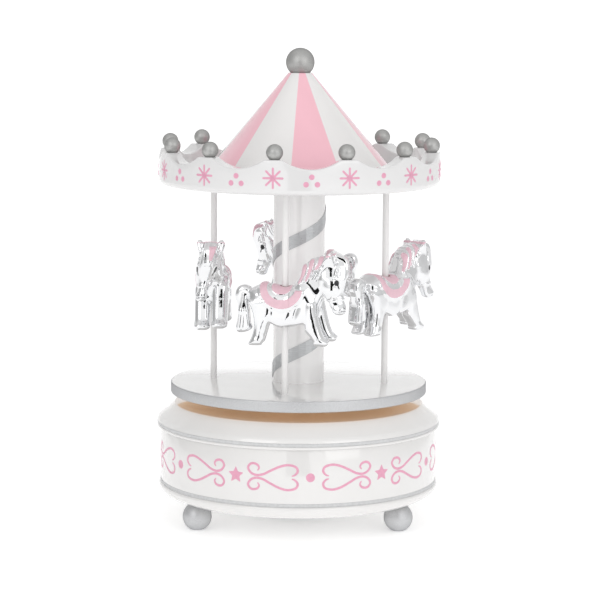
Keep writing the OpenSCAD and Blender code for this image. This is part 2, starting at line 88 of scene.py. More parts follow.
def make_world():
    """The inside of a white light tent: brightest towards the camera and overhead, greyest at the left."""
    world = bpy.data.worlds.new("studio")
    bpy.context.scene.world = world
    world.use_nodes = True
    tree = world.node_tree
    tree.nodes.clear()
    out = tree.nodes.new("ShaderNodeOutputWorld")
    background = tree.nodes.new("ShaderNodeBackground")
    tree.links.new(background.outputs[0], out.inputs[0])
    place = tree.nodes.new("ShaderNodeTexCoord")
    split = tree.nodes.new("ShaderNodeSeparateXYZ")
    tree.links.new(place.outputs["Generated"], split.inputs[0])

    def spread(axis, pairs):
        """Shade along one axis of the direction, from (position, shade) pairs."""
        last = None
        for (a, low), (b, high) in zip(pairs, pairs[1:]):
            node = tree.nodes.new("ShaderNodeMapRange")
            node.interpolation_type = "SMOOTHSTEP"
            values = (a, b, low if last is None else 0, high if last is None else high - low)
            for name, value in zip(("From Min", "From Max", "To Min", "To Max"), values):
                node.inputs[name].default_value = value
            tree.links.new(split.outputs[axis], node.inputs["Value"])
            last = node.outputs[0] if last is None else combine("ADD", last, node.outputs[0])
        return last

    def combine(kind, one, two):
        node = tree.nodes.new("ShaderNodeMath")
        node.operation = kind
        tree.links.new(one, node.inputs[0])
        tree.links.new(two, node.inputs[1])
        return node.outputs[0]

    height = spread("Z", [(-1, 0.95), (0.1, 1.0), (0.5, 1.06), (1, 1.12)])
    sides = spread("X", [(-0.95, 0.62), (-0.35, 1.0), (0.35, 1.0), (0.95, 0.93)])
    depth = spread("Y", [(-1, 1.24), (-0.55, 0.98), (0.2, 0.87), (1, 0.95)])
    strength = combine("MULTIPLY", combine("MULTIPLY", height, sides), depth)
    tree.links.new(strength, background.inputs["Strength"])


def dark_flag(name, corners, shade):
    """A black studio flag, seen only in reflections: the plated horses take their dark lines from it."""
    mesh = bpy.data.meshes.new(name)
    mesh.from_pydata(corners, [], [(0, 1, 2, 3)])
    mesh.materials.append(plain_emission(name + "_paint", shade))
    flag = bpy.data.objects.new(name, mesh)
    bpy.context.scene.collection.objects.link(flag)
    flag.visible_camera = False
    flag.visible_shadow = False
    flag.visible_diffuse = False


def plain_emission(name, shade):
    material = bpy.data.materials.new(name)
    material.use_nodes = True
    tree = material.node_tree
    tree.nodes.clear()
    out = tree.nodes.new("ShaderNodeOutputMaterial")
    glow = tree.nodes.new("ShaderNodeEmission")
    glow.inputs["Color"].default_value = (shade, shade, shade, 1)
    tree.links.new(glow.outputs[0], out.inputs[0])
    return material


def make_studio():
    """A white tent on a faintly glowing pale sweep, open towards the camera through a dark slit."""
    bpy.context.scene.view_settings.view_transform = "Standard"
    make_world()
    floor = Material("studio_floor", (0.95, 0.95, 0.95), roughness=0.9)
    floor.vary(0.005, 4)
    floor.set("Emission Color", (1, 1, 1, 1))
    split = floor.tree.nodes.new("ShaderNodeSeparateXYZ")
    floor.tree.links.new(floor.place, split.inputs[0])
    aside = floor.tree.nodes.new("ShaderNodeMath")
    aside.operation = "ABSOLUTE"
    floor.tree.links.new(split.outputs["X"], aside.inputs[0])
    glow = floor.tree.nodes.new("ShaderNodeMath")
    glow.operation = "MULTIPLY"
    # the glow fades up the sweep and out to both sides
    up_the_sweep = (split.outputs["Z"], (0.17, 0.24, 0.29, 0.02))
    to_the_sides = (aside.outputs[0], (0.36, 0.8, 1, 0.1))
    for i, (source, limits) in enumerate((up_the_sweep, to_the_sides)):
        fade = floor.tree.nodes.new("ShaderNodeMapRange")
        for name, value in zip(("From Min", "From Max", "To Min", "To Max"), limits):
            fade.inputs[name].default_value = value
        floor.tree.links.new(source, fade.inputs["Value"])
        floor.tree.links.new(fade.outputs[0], glow.inputs[i])
    floor.tree.links.new(glow.outputs[0], floor.shader.inputs["Emission Strength"])
    reach, depth, rise, bend = 3.0, 1.6, 1.6, 0.4
    outline = [(-reach, 0.0)] + [
        (depth - bend + bend * math.sin(a), bend - bend * math.cos(a))
        for a in np.linspace(0, math.pi / 2, 16)
    ] + [(depth, rise)]
    points = [(x, y, z) for y, z in outline for x in (-reach, reach)]
    faces = [(2 * i, 2 * i + 1, 2 * i + 3, 2 * i + 2) for i in range(len(outline) - 1)]
    add_mesh("studio_sweep", points, faces, [floor.material])
    slit = [(-0.06, -0.36, 0.003), (0.06, -0.36, 0.003), (0.14, -1.0, 0.45), (-0.14, -1.0, 0.45)]
    dark_flag("lens_slit", slit, 0.01)
    middle = (0, 0, 0.09)
    area_light("key_left", (-0.8, -1.2, 0.8), middle, (0.8, 0.8), 2.6)
    area_light("fill_right", (0.9, -1.2, 0.6), middle, (0.8, 0.8), 2.2)


# ---------------------------------------------------------------- materials

class Material:
    """A procedural material: one Principled shader with named helpers for its detail."""

    def __init__(self, name, colour, roughness=0.4, metallic=0.0, coat=0.0):
        self.material = bpy.data.materials.new(name)
        self.material.use_nodes = True
        self.tree = self.material.node_tree
        self.shader = self.tree.nodes["Principled BSDF"]
        self.colour = colour
        self.set("Base Color", (*colour, 1))
        self.set("Roughness", roughness)
        self.set("Metallic", metallic)
        self.set("Coat Weight", coat)
        self.set("Coat Roughness", 0.04)
        self.place = self.tree.nodes.new("ShaderNodeTexCoord").outputs["Object"]

    def set(self, socket, value):
        self.shader.inputs[socket].default_value = value

    def noise(self, scale, detail=3, stretch=(1, 1, 1)):
        """Noise over the piece; scale is in bumps per metre."""
        mapping = self.tree.nodes.new("ShaderNodeMapping")
        mapping.inputs["Scale"].default_value = stretch
        self.tree.links.new(self.place, mapping.inputs["Vector"])
        noise = self.tree.nodes.new("ShaderNodeTexNoise")
        noise.inputs["Scale"].default_value = scale
        noise.inputs["Detail"].default_value = detail
        self.tree.links.new(mapping.outputs[0], noise.inputs["Vector"])
        return noise.outputs["Fac"]

    def ramp(self, value, stops):
        """Colour ramp of (place, colour) stops."""
        node = self.tree.nodes.new("ShaderNodeValToRGB")
        elements = node.color_ramp.elements
        while len(elements) < len(stops):
            elements.new(0.5)
        for element, (place, colour) in zip(elements, stops):
            element.position = place
            element.color = (*colour, 1)
        self.tree.links.new(value, node.inputs["Fac"])
        return node.outputs["Color"]

    def vary(self, amount, scale, stretch=(1, 1, 1)):
        """Drifts the base colour lighter and darker by amount."""
        dark = tuple(c * (1 - amount) for c in self.colour)
        light = tuple(min(1, c * (1 + amount)) for c in self.colour)
        colour = self.ramp(self.noise(scale, 4, stretch), [(0.3, dark), (0.7, light)])
        self.tree.links.new(colour, self.shader.inputs["Base Color"])
        return self

    def roughen(self, low, high, scale):
        """Lets the roughness drift between two values."""
        grey = self.ramp(self.noise(scale, 4), [(0.3, (low,) * 3), (0.7, (high,) * 3)])
        self.tree.links.new(grey, self.shader.inputs["Roughness"])
        return self

    def bump(self, height, distance):
        node = self.tree.nodes.new("ShaderNodeBump")
        node.inputs["Distance"].default_value = distance
        node.inputs["Strength"].default_value = 1.0
        self.tree.links.new(height, node.inputs["Height"])
        self.tree.links.new(node.outputs[0], self.shader.inputs["Normal"])
        return self


def make_materials():
    """Every material of the object, by name."""
    made = {}
    # one white lacquer in lit and shaded copies: the column and cone copies are lighter, painted light, and
    # the ring copy is darker, painted shade
    lit_and_shaded_whites = {"lacquer": (0.80, 0.79, 0.78), "column_lacquer_painted_light": (0.93, 0.92, 0.915),
              "ring_lacquer_painted_shade": (0.77, 0.765, 0.765), "cone_lacquer_painted_light": (0.865, 0.85, 0.84)}
    for key, white in lit_and_shaded_whites.items():
        made[key] = Material("white_" + key, white, 0.12, coat=1.0)
        made[key].vary(0.012, 60).roughen(0.10, 0.16, 90)
        made[key].set("Coat Roughness", 0.025)

    silver = Material("silver_paint", (0.62, 0.625, 0.635), 0.48, metallic=0.85)
    silver.vary(0.14, 5200)
    silver.set("Specular Tint", (0.35, 0.35, 0.36, 1))
    silver.bump(silver.noise(4200, 2), 0.00002)
    made["silver"] = silver

    pearl = Material("silver_ball", (0.495, 0.495, 0.485), 0.45, metallic=0.8)
    pearl.vary(0.16, 5200)
    pearl.set("Specular Tint", (0.12, 0.12, 0.12, 1))
    pearl.bump(pearl.noise(4200, 2), 0.00002)
    made["pearl"] = pearl

    line = Material("silver_line", (0.60, 0.605, 0.61), 0.5)
    line.vary(0.06, 900)
    made["line"] = line

    wood = Material("bare_wood", (0.66, 0.46, 0.29), 0.6)
    rings = wood.noise(160, 6, (1, 7, 1))
    grain = [(0.3, (0.58, 0.38, 0.22)), (0.55, (0.68, 0.47, 0.29)), (0.8, (0.76, 0.55, 0.36))]
    colour = wood.ramp(rings, grain)
    wood.tree.links.new(colour, wood.shader.inputs["Base Color"])
    # the grain colour also glows: painted light for the shaded underside of the turntable and for the hub
    wood.tree.links.new(colour, wood.shader.inputs["Emission Color"])
    wood.set("Emission Strength", 0.3)
    wood.bump(rings, 0.00006)
    made["wood"] = wood

    pink = Material("pink_lacquer", PINK_TINT, 0.2, coat=0.8)
    pink.vary(0.02, 70).roughen(0.16, 0.24, 90)
    made["pink"] = pink

    ink = Material("pink_print", INK_TINT, 0.45)
    ink.vary(0.06, 900)
    ink.bump(ink.noise(2600, 2), 0.00001)
    made["ink"] = ink

    foil = Material("silver_foil", (0.54, 0.55, 0.56), 0.36, metallic=0.8)
    foil.vary(0.08, 500, (1, 1, 6)).roughen(0.26, 0.42, 700)
    foil.bump(foil.noise(900, 3), 0.00003)
    made["foil"] = foil

    chrome = Material("horse_chrome", (0.86, 0.865, 0.875), 0.05, metallic=1)
    chrome.vary(0.02, 300).roughen(0.04, 0.08, 260)
    chrome.bump(chrome.noise(420, 2), 0.00003)
    made["chrome"] = chrome

    saddle = Material("horse_pink", (0.78, 0.52, 0.59), 0.33)
    saddle.vary(0.04, 500)
    saddle.bump(saddle.noise(1500, 2), 0.00002)
    made["saddle"] = saddle

    black = Material("horse_black", (0.015, 0.015, 0.018), 0.25)
    black.vary(0.2, 900)
    made["black"] = black

    # dark red painted shade for the gap round the pole, which is not cut
    socket = Material("horse_hole_painted_shade", (0.20, 0.06, 0.06), 0.5)
    socket.vary(0.2, 900)
    made["socket"] = socket

    plastic = Material("pole_plastic", (0.84, 0.83, 0.825), 0.3)
    plastic.vary(0.02, 90, (1, 1, 0.2)).bump(plastic.noise(700, 2), 0.00001)
    made["plastic"] = plastic

    steel = Material("bright_steel", (0.56, 0.57, 0.58), 0.28, metallic=1)
    steel.vary(0.06, 700, (1, 1, 0.1)).roughen(0.2, 0.4, 500)
    steel.bump(steel.noise(2400, 2, (1, 1, 0.1)), 0.000006)
    made["steel"] = steel

    brass = Material("bright_brass", (0.76, 0.56, 0.24), 0.26, metallic=1)
    brass.vary(0.06, 420).roughen(0.2, 0.36, 500)
    brass.bump(brass.noise(2400, 2), 0.000006)
    made["brass"] = brass

    zinc = Material("cast_zinc", (0.42, 0.43, 0.45), 0.5, metallic=0.9)
    zinc.vary(0.08, 300).bump(zinc.noise(2000, 4), 0.00003)
    made["zinc"] = zinc
    return made


# ---------------------------------------------------------------- mesh helpers

def add_mesh(name, points, faces, materials, smooth=True):
    mesh = bpy.data.meshes.new(name)
    mesh.from_pydata(points, [], faces)
    for material in materials:
        mesh.materials.append(material)
    mesh.polygons.foreach_set("use_smooth", [smooth] * len(mesh.polygons))
    mesh.update()
    piece = bpy.data.objects.new(name, mesh)
    bpy.context.scene.collection.objects.link(piece)
    return piece


def sharpen(piece, degrees):
    """Shades edges sharper than that angle as edges."""
    mesh = piece.data
    mesh.set_sharp_from_angle(angle=math.radians(degrees))
    return piece


def arc(cx, cz, rx, rz, start, end, count):
    """Points of an elliptic arc, angles in degrees."""
    return [
        (cx + rx * math.cos(math.radians(a)), cz + rz * math.sin(math.radians(a)))
        for a in np.linspace(start, end, count)
    ]


def lathe(name, outline, materials, slot_of=None, segments=SEGMENTS):
    """Turns a closed outline of (radius, height) points in millimetres about the Z axis.
    slot_of gives the material index of the stretch from point i to the next, at angle a."""
    n = len(outline)
    points, faces, slots = [], [], []
    for k in range(segments):
        a = 2 * math.pi * k / segments
        points += [(r * MM * math.sin(a), -r * MM * math.cos(a), z * MM) for r, z in outline]
    for k in range(segments):
        here, there = k * n, ((k + 1) % segments) * n
        middle = 360 * (k + 0.5) / segments
        for i in range(n):
            j = (i + 1) % n
            if outline[i][0] == 0 and outline[j][0] == 0:
                continue
            faces.append((here + i, there + i, there + j, here + j))
            slots.append(slot_of(i, middle) if slot_of else 0)
    piece = add_mesh(name, points, faces, materials)
    piece.data.polygons.foreach_set("material_index", slots)
    weld(piece)
    return piece


def weld(piece, distance=1e-7):
    mesh = bmesh.new()
    mesh.from_mesh(piece.data)
    bmesh.ops.remove_doubles(mesh, verts=mesh.verts, dist=distance)
    bmesh.ops.recalc_face_normals(mesh, faces=mesh.faces)
    mesh.to_mesh(piece.data)
    mesh.free()


def join_as(name, pieces):
    """Joins pieces into one object."""
    points, faces, offset = [], [], 0
    for p in pieces:
        points += [tuple(v.co) for v in p.data.vertices]
        faces += [tuple(i + offset for i in f.vertices) for f in p.data.polygons]
        offset = len(points)
    materials = list(pieces[0].data.materials)
    for p in pieces:
        bpy.data.objects.remove(p)
    return add_mesh(name, points, faces, materials)


def finish_piece(piece, body, slot, *nodes):
    """Puts a piece on its body and hides the CAD nodes it stands for; the paint it is given, slot, is not
    used.
    """
    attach(piece, body)
    if nodes:
        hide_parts(*nodes)


def front_angle(x, y):
    """Angle clockwise from the front, seen from above, in degrees."""
    return math.degrees(math.atan2(x, -y))


def size_mm(node):
    low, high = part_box(node)
    return low / MM, high / MM


# ---------------------------------------------------------------- turned parts

def make_base(mats):
    """Plinth, drum and dished lid, with the two silver lines between them."""
    plinth_low, plinth = size_mm("base_plinth")
    board = plinth_low.z
    drum_low, drum_high = size_mm("base_drum")
    _, lid = size_mm("base_lid")
    drum_r, lid_r, rim = drum_high.x, lid.x, lid.z
    bay_r, hole_r, dish = drum_r - 5, 4.5, rim - 1.4
    paint = [mats["lacquer"].material]

    # plinth: rounded underneath, with a small lip below the drum
    inner, under, side_top, lip = 7, 44, 14.1, 0.7
    outline = [(inner, board), (under - 0.4, board)]
    outline += arc(under, side_top, plinth.x - 0.3 - under, side_top - board, -90, 0, 14)[1:]
    outline += arc(drum_r, side_top, lip, lip, 0, 80, 6)
    outline += [(drum_r - 0.6, drum_low.z), (inner, drum_low.z)]
    plinth_piece = lathe("plinth_lacquer", outline, paint)
    finish_piece(sharpen(plinth_piece, 50), "base", "white_lacquer", "base_plinth")

    # silver line: a round bead of paint that stands a little proud of the drum
    proud, deep = drum_r + 0.15, drum_r - 1.2
    outline = [(drum_r - 0.1, 14.8), (drum_r + 0.1, 14.86), (proud, 15.2), (proud, 15.6)]
    outline += [(drum_r + 0.1, 16.0), (drum_r - 0.02, 16.18), (deep, 16.2), (deep, 14.8)]
    line = lathe("plinth_silver_line", outline, [mats["line"].material])
    finish_piece(line, "base", "silver_paint")

    # drum wall, set back behind the silver line
    back = drum_r - 0.5
    outline = [(bay_r, drum_low.z + 0.05), (back, drum_low.z + 0.05), (back, 16.0)]
    outline += [(drum_r - 0.03, 16.12), (drum_r, 16.25), (drum_r, drum_high.z - 0.1)]
    outline += [(drum_r - 0.05, drum_high.z), (bay_r, drum_high.z)]
    drum = lathe("drum_lacquer", outline, paint)
    finish_piece(sharpen(drum, 50), "base", "white_lacquer", "base_drum")

    # lid: a lip, the seat of the silver line, a sloping shoulder, a rounded rim and the dish
    lip, seat, shoulder, ease = 0.6, lid_r - 0.7, 4.2, 0.9
    outline = [(bay_r, drum_high.z), (drum_r - 0.05, drum_high.z), (drum_r + 0.15, drum_high.z + 0.1)]
    outline += arc(lid_r - 0.75, 36.45, lip, lip, -60, 60, 10)
    outline += [(seat, 37.0), (seat, 38.1)]
    outline += arc(lid_r - shoulder, 37.4, shoulder, shoulder, 13, 42, 8)
    outline += arc(46.2, rim - ease, ease, ease, 45, 90, 8)
    outline += [(12, dish), (hole_r, dish), (hole_r, 39), (bay_r, 39)]
    lid_piece = lathe("lid_lacquer", outline, paint)
    finish_piece(sharpen(lid_piece, 50), "base", "white_lacquer", "base_lid")

    # silver line under the lid's shoulder
    outline = [(lid_r - 1.2, 36.95), (lid_r - 0.45, 37.0), (lid_r - 0.28, 37.2), (lid_r - 0.2, 37.55)]
    outline += [(lid_r - 0.15, 37.95), (lid_r - 0.12, 38.3), (lid_r - 1.2, 38.3)]
    line = lathe("lid_silver_line", outline, [mats["line"].material])
    finish_piece(line, "base", "silver_paint")


def ball(name, centre, radius, low, high, materials, rings=40, segments=64):
    """A turned ball cut flat at two heights, in millimetres, its cut edges eased."""
    def angle(z):
        return math.degrees(math.asin(max(-1, min(1, (z - centre[2]) / radius))))
    outline = [(0, low)] + arc(0, centre[2], radius, radius, angle(low), angle(high), rings)
    if high < centre[2] + radius:
        outline += [(0, high)]
    piece = lathe(name, outline, materials, segments=segments)
    piece.data.transform(Matrix.Translation((centre[0] * MM, centre[1] * MM, 0)))
    return sharpen(piece, 40)


def solids_of(node):
    """Low and high corners, in millimetres, of the box round each separate solid of a node."""
    mesh = bmesh.new()
    mesh.from_mesh(frame["nodes"][node].data)
    bmesh.ops.remove_doubles(mesh, verts=mesh.verts, dist=1e-6)
    left, found = set(mesh.verts), []
    while left:
        stack = [left.pop()]
        island = []
        while stack:
            v = stack.pop()
            island.append(v.co.copy())
            for e in v.link_edges:
                o = e.other_vert(v)
                if o in left:
                    left.discard(o)
                    stack.append(o)
        co = np.array(island) / MM
        found.append((co.min(0), co.max(0)))
    mesh.free()
    return found


def first_bead_turn():
    """Angle of the first rim bead from the front, in degrees."""
    low, high = solids_of("rim_beads")[0]
    return front_angle(*((low + high) / 2)[:2])


def make_balls(mats):
    """The feet, the beads on the rim and the ball on top."""
    silver, pearl = [mats["silver"].material], [mats["pearl"].material]
    foot_middle = 4.8

    def set_of(name, node, height, paint, *fineness):
        """A ball for each solid of a node, its centre at height(top, radius)."""
        balls = []
        for i, (low, high) in enumerate(solids_of(node)):
            radius = (high[0] - low[0]) / 2
            x, y, _ = (low + high) / 2
            centre = (x, y, height(high[2], radius))
            balls.append(ball(f"{name}_{i}", centre, radius, low[2], high[2], paint, *fineness))
        return balls

    feet = set_of("foot", "ball_feet", lambda top, radius: foot_middle, silver)
    finish_piece(sharpen(join_as("feet_silver", feet), 40), "base", "silver_paint", "ball_feet")
    beads = set_of("bead", "rim_beads", lambda top, radius: top - radius, pearl, 28, 48)
    finish_piece(sharpen(join_as("beads_silver", beads), 40), "carousel", "silver_paint", "rim_beads")
    low, high = size_mm("finial_ball")
    radius = (high.x - low.x) / 2
    cone_top = size_mm("canopy_cone")[1].z
    finial = ball("finial_silver", (0, 0, high.z - radius), radius, cone_top, high.z, pearl, 60, 96)
    finish_piece(finial, "carousel", "silver_paint", "finial_ball")


def make_turntable(mats):
    """Turntable with a silver edge and a bare underside, its hub, and the column."""
    low, high = size_mm("platform")
    bore, r, edge = 3, high.x, 0.5
    outline = [(bore, low.z), (r - edge, low.z)]
    outline += arc(r - edge, low.z + edge, edge, edge, -90, 0, 6)[1:]
    outline += arc(r - edge, high.z - edge, edge, edge, 0, 90, 6)
    outline += [(bore, high.z)]
    under, top = 1, len(outline) - 3

    def slot_of(i, _):
        return 2 if i < under else (1 if i < top else 0)

    # the turntable's underside takes the glowing bare wood: painted light
    paints = [mats[k].material for k in ("lacquer", "silver", "wood")]
    table = lathe("turntable", outline, paints, slot_of)
    finish_piece(sharpen(table, 50), "carousel", "white_lacquer", "platform")

    low, high = size_mm("platform_hub")
    r = high.x
    outline = [(bore, low.z), (r - 0.6, low.z), (r - 0.2, low.z + 0.2), (r, low.z + 0.6)]
    outline += [(r, high.z), (bore, high.z)]
    # the hub is glowing bare wood: painted light
    hub = lathe("hub_wood", outline, [mats["wood"].material])
    finish_piece(sharpen(hub, 30), "carousel", "bare_wood", "platform_hub")

    low, high = size_mm("column")
    r = high.x
    outline = [(bore, low.z), (r, low.z), (r, high.z), (bore, high.z)]
    # the column's copy of the white lacquer is lighter: painted light
    column = lathe("column_lacquer_painted_light", outline, [mats["column_lacquer_painted_light"].material])
    finish_piece(sharpen(column, 30), "carousel", "white_lacquer", "column")


def make_canopy(mats):
    """The scalloped ring and the striped cone inside it."""
    low, high = size_mm("canopy_valance")
    r, wall, corner, floor = high.x, 6.0, 2.2, 3.0
    valley, peak = 136.0, high.z
    first = first_bead_turn()
    count = 12
    steps = count * 40
    cone_r = size_mm("canopy_cone")[1].x
    dip_share = 0.76
    half_dip = r * math.sin(math.pi / count) * dip_share
    dip_r = (half_dip**2 + (peak - valley) ** 2) / (2 * (peak - valley))

    def top_of(a, q):
        """Height of the rim: round dips between flat-topped peaks, one peak under each bead."""
        off = abs((a - first) % (360 / count) - 180 / count)
        w = q * math.sin(math.radians(off))
        return min(peak, valley + dip_r - math.sqrt(max(dip_r**2 - w * w, 0))) if w < dip_r else peak

    points, faces = [], []
    ease = 0.6
    for k in range(steps):
        a = 360 * k / steps
        top, inner_top = top_of(a, r), top_of(a, r - wall)
        section = [(cone_r - 0.5, low.z), (r - corner - 6, low.z)]
        section += arc(r - corner, low.z + corner, corner, corner, -90, 0, 10)
        section += [(r, low.z + corner + (top - ease - low.z - corner) * t) for t in (0.33, 0.66)]
        section += arc(r - ease, top - ease, ease, ease, 0, 90, 6)
        section += [(r - wall * t, top_of(a, r - wall * t)) for t in (0.3, 0.5, 0.7)]
        section += arc(r - wall + ease, inner_top - ease, ease, ease, 90, 180, 6)
        section += [(r - wall, low.z + floor + 0.8), (r - wall - 0.8, low.z + floor)]
        section += [(cone_r - 0.5, low.z + floor)]
        t = math.radians(a)
        points += [(q * MM * math.sin(t), -q * MM * math.cos(t), z * MM) for q, z in section]
    ring = len(points) // steps
    for k in range(steps):
        here, there = k * ring, ((k + 1) % steps) * ring
        for i in range(ring):
            j = (i + 1) % ring
            faces.append((here + i, there + i, there + j, here + j))
    faces.append(tuple(reversed([k * ring for k in range(steps)])))
    # the ring's copy of the white lacquer is darker: painted shade
    valance = add_mesh("canopy_ring", points, faces, [mats["ring_lacquer_painted_shade"].material])
    weld(valance)
    finish_piece(sharpen(valance, 50), "carousel", "white_lacquer", "canopy_valance")

    low, high = size_mm("canopy_cone")
    top_r = 4.4
    stripes, pink_share, turn = 5, 0.43, 9.9
    outline = [(0, low.z)]
    outline += [(cone_r + (top_r - cone_r) * t, low.z + (high.z - low.z) * t) for t in np.linspace(0, 1, 24)]
    outline += [(0, high.z)]

    def slot_of(i, a):
        phase = ((a - turn) * stripes / 360 + 0.5) % 1.0 - 0.5
        return 1 if abs(phase) < pink_share / 2 else 0

    # the cone's white is a lighter copy of the lacquer: painted light
    paints = [mats[k].material for k in ("cone_lacquer_painted_light", "pink")]
    cone = lathe("canopy_stripes", outline, paints, slot_of, 720)
    finish_piece(sharpen(cone, 40), "carousel", "pink_paint", "canopy_cone")


# ---------------------------------------------------------------- printed patterns

def spline(a, b, c, d, t):
    """Place between b and c, at share t, on a smooth curve through four points."""
    return 0.5 * ((2 * b) + (c - a) * t + (2 * a - 5 * b + 4 * c - d) * t**2 + (3 * b - a - 3 * c + d) * t**3)


def catmull(points, per_span=8):
    """Smooth curve through points."""
    p = np.array(points, float)
    p = np.vstack([2 * p[0] - p[1], p, 2 * p[-1] - p[-2]])
    out = []
    for i in range(1, len(p) - 2):
        for t in np.linspace(0, 1, per_span, endpoint=False):
            out.append(spline(p[i - 1], p[i], p[i + 1], p[i + 2], t))
    out.append(p[-2])
    return np.array(out)


def outline_of_stroke(path, width, taper=0.55):
    """Closed outline of a brush stroke along path, with round ends thinner by taper."""
    d = np.gradient(path, axis=0)
    d /= np.linalg.norm(d, axis=1)[:, None]
    side = np.stack([-d[:, 1], d[:, 0]], 1)
    run = np.concatenate([[0], np.cumsum(np.linalg.norm(np.diff(path, axis=0), axis=1))])
    whole = run[-1]
    near = np.minimum(run, whole - run)
    half = width / 2 * (taper + (1 - taper) * np.clip(near / (3 * width), 0, 1))
    half *= np.sqrt(np.clip(1 - (1 - np.clip(near / half, 0, 1)) ** 2, 0.02, 1))
    return path + side * half[:, None], path - side * half[:, None]


class Print:
    """Flat pink shapes wrapped on a cylinder: u runs along the wall, v up it, in millimetres."""

    def __init__(self, radius, middle):
        self.radius, self.middle = radius, middle
        self.sunk, self.proud = -0.03, 0.045
        self.points, self.faces = [], []

    def at(self, u, v, h, turn):
        a = math.radians(turn) + u / self.radius
        r = self.radius + h
        return (r * MM * math.sin(a), -r * MM * math.cos(a), (self.middle + v) * MM)

    def strip(self, left, right, turn):
        """A ribbon between two edge lines."""
        n, base = len(left), len(self.points)
        for edge, h in ((left, self.sunk), (left, self.proud), (right, self.proud), (right, self.sunk)):
            self.points += [self.at(u, v, h, turn) for u, v in edge]
        for s in range(4):
            a, b = base + s * n, base + (s + 1) % 4 * n
            self.faces += [(a + i, a + i + 1, b + i + 1, b + i) for i in range(n - 1)]
        self.faces.append(tuple(base + s * n for s in range(4)))
        self.faces.append(tuple(base + s * n + n - 1 for s in (3, 2, 1, 0)))

    def stroke(self, path, width, turn, taper=0.55):
        left, right = outline_of_stroke(np.array(path, float), width, taper)
        self.strip(left, right, turn)

    def blob(self, centre, outline, turn):
        """A filled shape given by its outline round centre."""
        n, base = len(outline), len(self.points)
        rings = [(1.0, self.sunk), (1.0, self.proud * 0.6), (0.93, self.proud), (0.45, self.proud)]
        for share, h in rings:
            self.points += [
                self.at(centre[0] + u * share, centre[1] + v * share, h, turn) for u, v in outline
            ]
        self.points.append(self.at(centre[0], centre[1], self.proud, turn))
        for k in range(len(rings) - 1):
            a, b = base + k * n, base + (k + 1) * n
            self.faces += [(a + i, a + (i + 1) % n, b + (i + 1) % n, b + i) for i in range(n)]
        last, tip = base + (len(rings) - 1) * n, len(self.points) - 1
        self.faces += [(last + i, last + (i + 1) % n, tip) for i in range(n)]
        self.faces.append(tuple(base + i for i in reversed(range(n))))

    def dot(self, centre, radius, turn):
        turns = np.linspace(0, 2 * math.pi, 32, endpoint=False)
        self.blob(centre, [(radius * math.cos(t), radius * math.sin(t)) for t in turns], turn)

    def build(self, name, material):
        return add_mesh(name, self.points, self.faces, [material], smooth=False)


def star_outline(outer, inner, tips=5, easing=0.12):
    """A star with slightly blunt tips."""
    corners = []
    for i in range(2 * tips):
        r = outer if i % 2 == 0 else inner
        a = math.pi / 2 + math.pi * i / tips
        corners.append(np.array([r * math.cos(a), r * math.sin(a)]))
    out = []
    for i, c in enumerate(corners):
        before, after = corners[i - 1], corners[(i + 1) % len(corners)]
        for t, other in ((easing, before), (easing, after)):
            out.append(tuple(c + (other - c) * t))
    return out


def make_drum_print(mats):
    """Pairs of scrolled hearts round a dot, with a star between two pairs."""
    wall = Print(size_mm("base_drum")[1].x, middle=25.8)
    scroll = [(2.3, 0.5), (1.1, 0.95), (0.15, 2.3), (0.9, 3.9), (3.6, 4.55), (6.6, 3.9), (9.9, 2.35),
              (12.6, 0.95), (15.1, 0.5), (17.2, 1.25), (18.3, 2.9), (17.6, 4.3), (16.3, 4.75),
              (14.8, 4.3), (14.15, 3.2), (14.75, 2.15)]
    curve = catmull(scroll)
    start = math.radians(4.9) * wall.radius
    width = 0.84
    # six motifs, drawn a little closer together at the back
    turns = [-56, 5, 66.2, 125.6, 185, 244.4]
    for dot_turn, next_turn in zip(turns, turns[1:] + [turns[0] + 360]):
        wall.dot((0, 0), 1.6, dot_turn)
        wall.blob((0, 0), star_outline(outer=3.2, inner=1.5), (dot_turn + next_turn) / 2)
        for side in (-1, 1):
            for flip in (-1, 1):
                path = np.stack([side * (start + curve[:, 0]), flip * curve[:, 1]], 1)
                wall.stroke(path, width, dot_turn)
    finish_piece(wall.build("drum_print", mats["ink"].material), "base", "pink_paint")


def make_ring_print(mats):
    """An eight-pointed asterisk under each bead and three dots between two of them."""
    ring = Print(size_mm("canopy_valance")[1].x, middle=132.9)
    first = first_bead_turn()
    ray, width = 3.85, 0.74
    for k in range(12):
        turn = first + 30 * k
        for q in range(4):
            a = math.radians(45 * q)
            path = [(t * ray * math.cos(a), t * ray * math.sin(a)) for t in np.linspace(-1, 1, 24)]
            ring.stroke(path, width, turn, taper=1.0)
        ring.dot((0, 0), 1.15, turn)
        for u, v in ((0, 0.5), (-2.0, -2.1), (2.0, -2.1)):
            ring.dot((u, v), 0.98, turn + 15)
    finish_piece(ring.build("canopy_print", mats["ink"].material), "carousel", "pink_paint")


# ---------------------------------------------------------------- horses

def smooth_min(a, b, k):
    h = np.maximum(k - np.abs(a - b), 0) / k
    return np.minimum(a, b) - h * h * k / 4


def smooth_max(a, b, k):
    return -smooth_min(-a, -b, k)


def outline_distance(x, z, points):
    """Distance to a smooth closed outline through points, negative inside."""
    p = np.array(points, float)
    curve = []
    for i in range(len(p)):
        around = p[i - 1], p[i], p[(i + 1) % len(p)], p[(i + 2) % len(p)]
        curve += [spline(*around, t) for t in np.linspace(0, 1, 6, endpoint=False)]
    curve = np.array(curve)
    near, inside = np.full(x.shape, 1e9), np.zeros(x.shape, bool)
    for (x0, z0), (x1, z1) in zip(curve, np.roll(curve, -1, 0)):
        dx, dz = x1 - x0, z1 - z0
        t = np.clip(((x - x0) * dx + (z - z0) * dz) / (dx * dx + dz * dz), 0, 1)
        near = np.minimum(near, (x - x0 - t * dx) ** 2 + (z - z0 - t * dz) ** 2)
        if z0 != z1:
            inside ^= ((z0 > z) != (z1 > z)) & (x < x0 + (z - z0) * dx / dz)
    return np.where(inside, -1, 1) * np.sqrt(near)


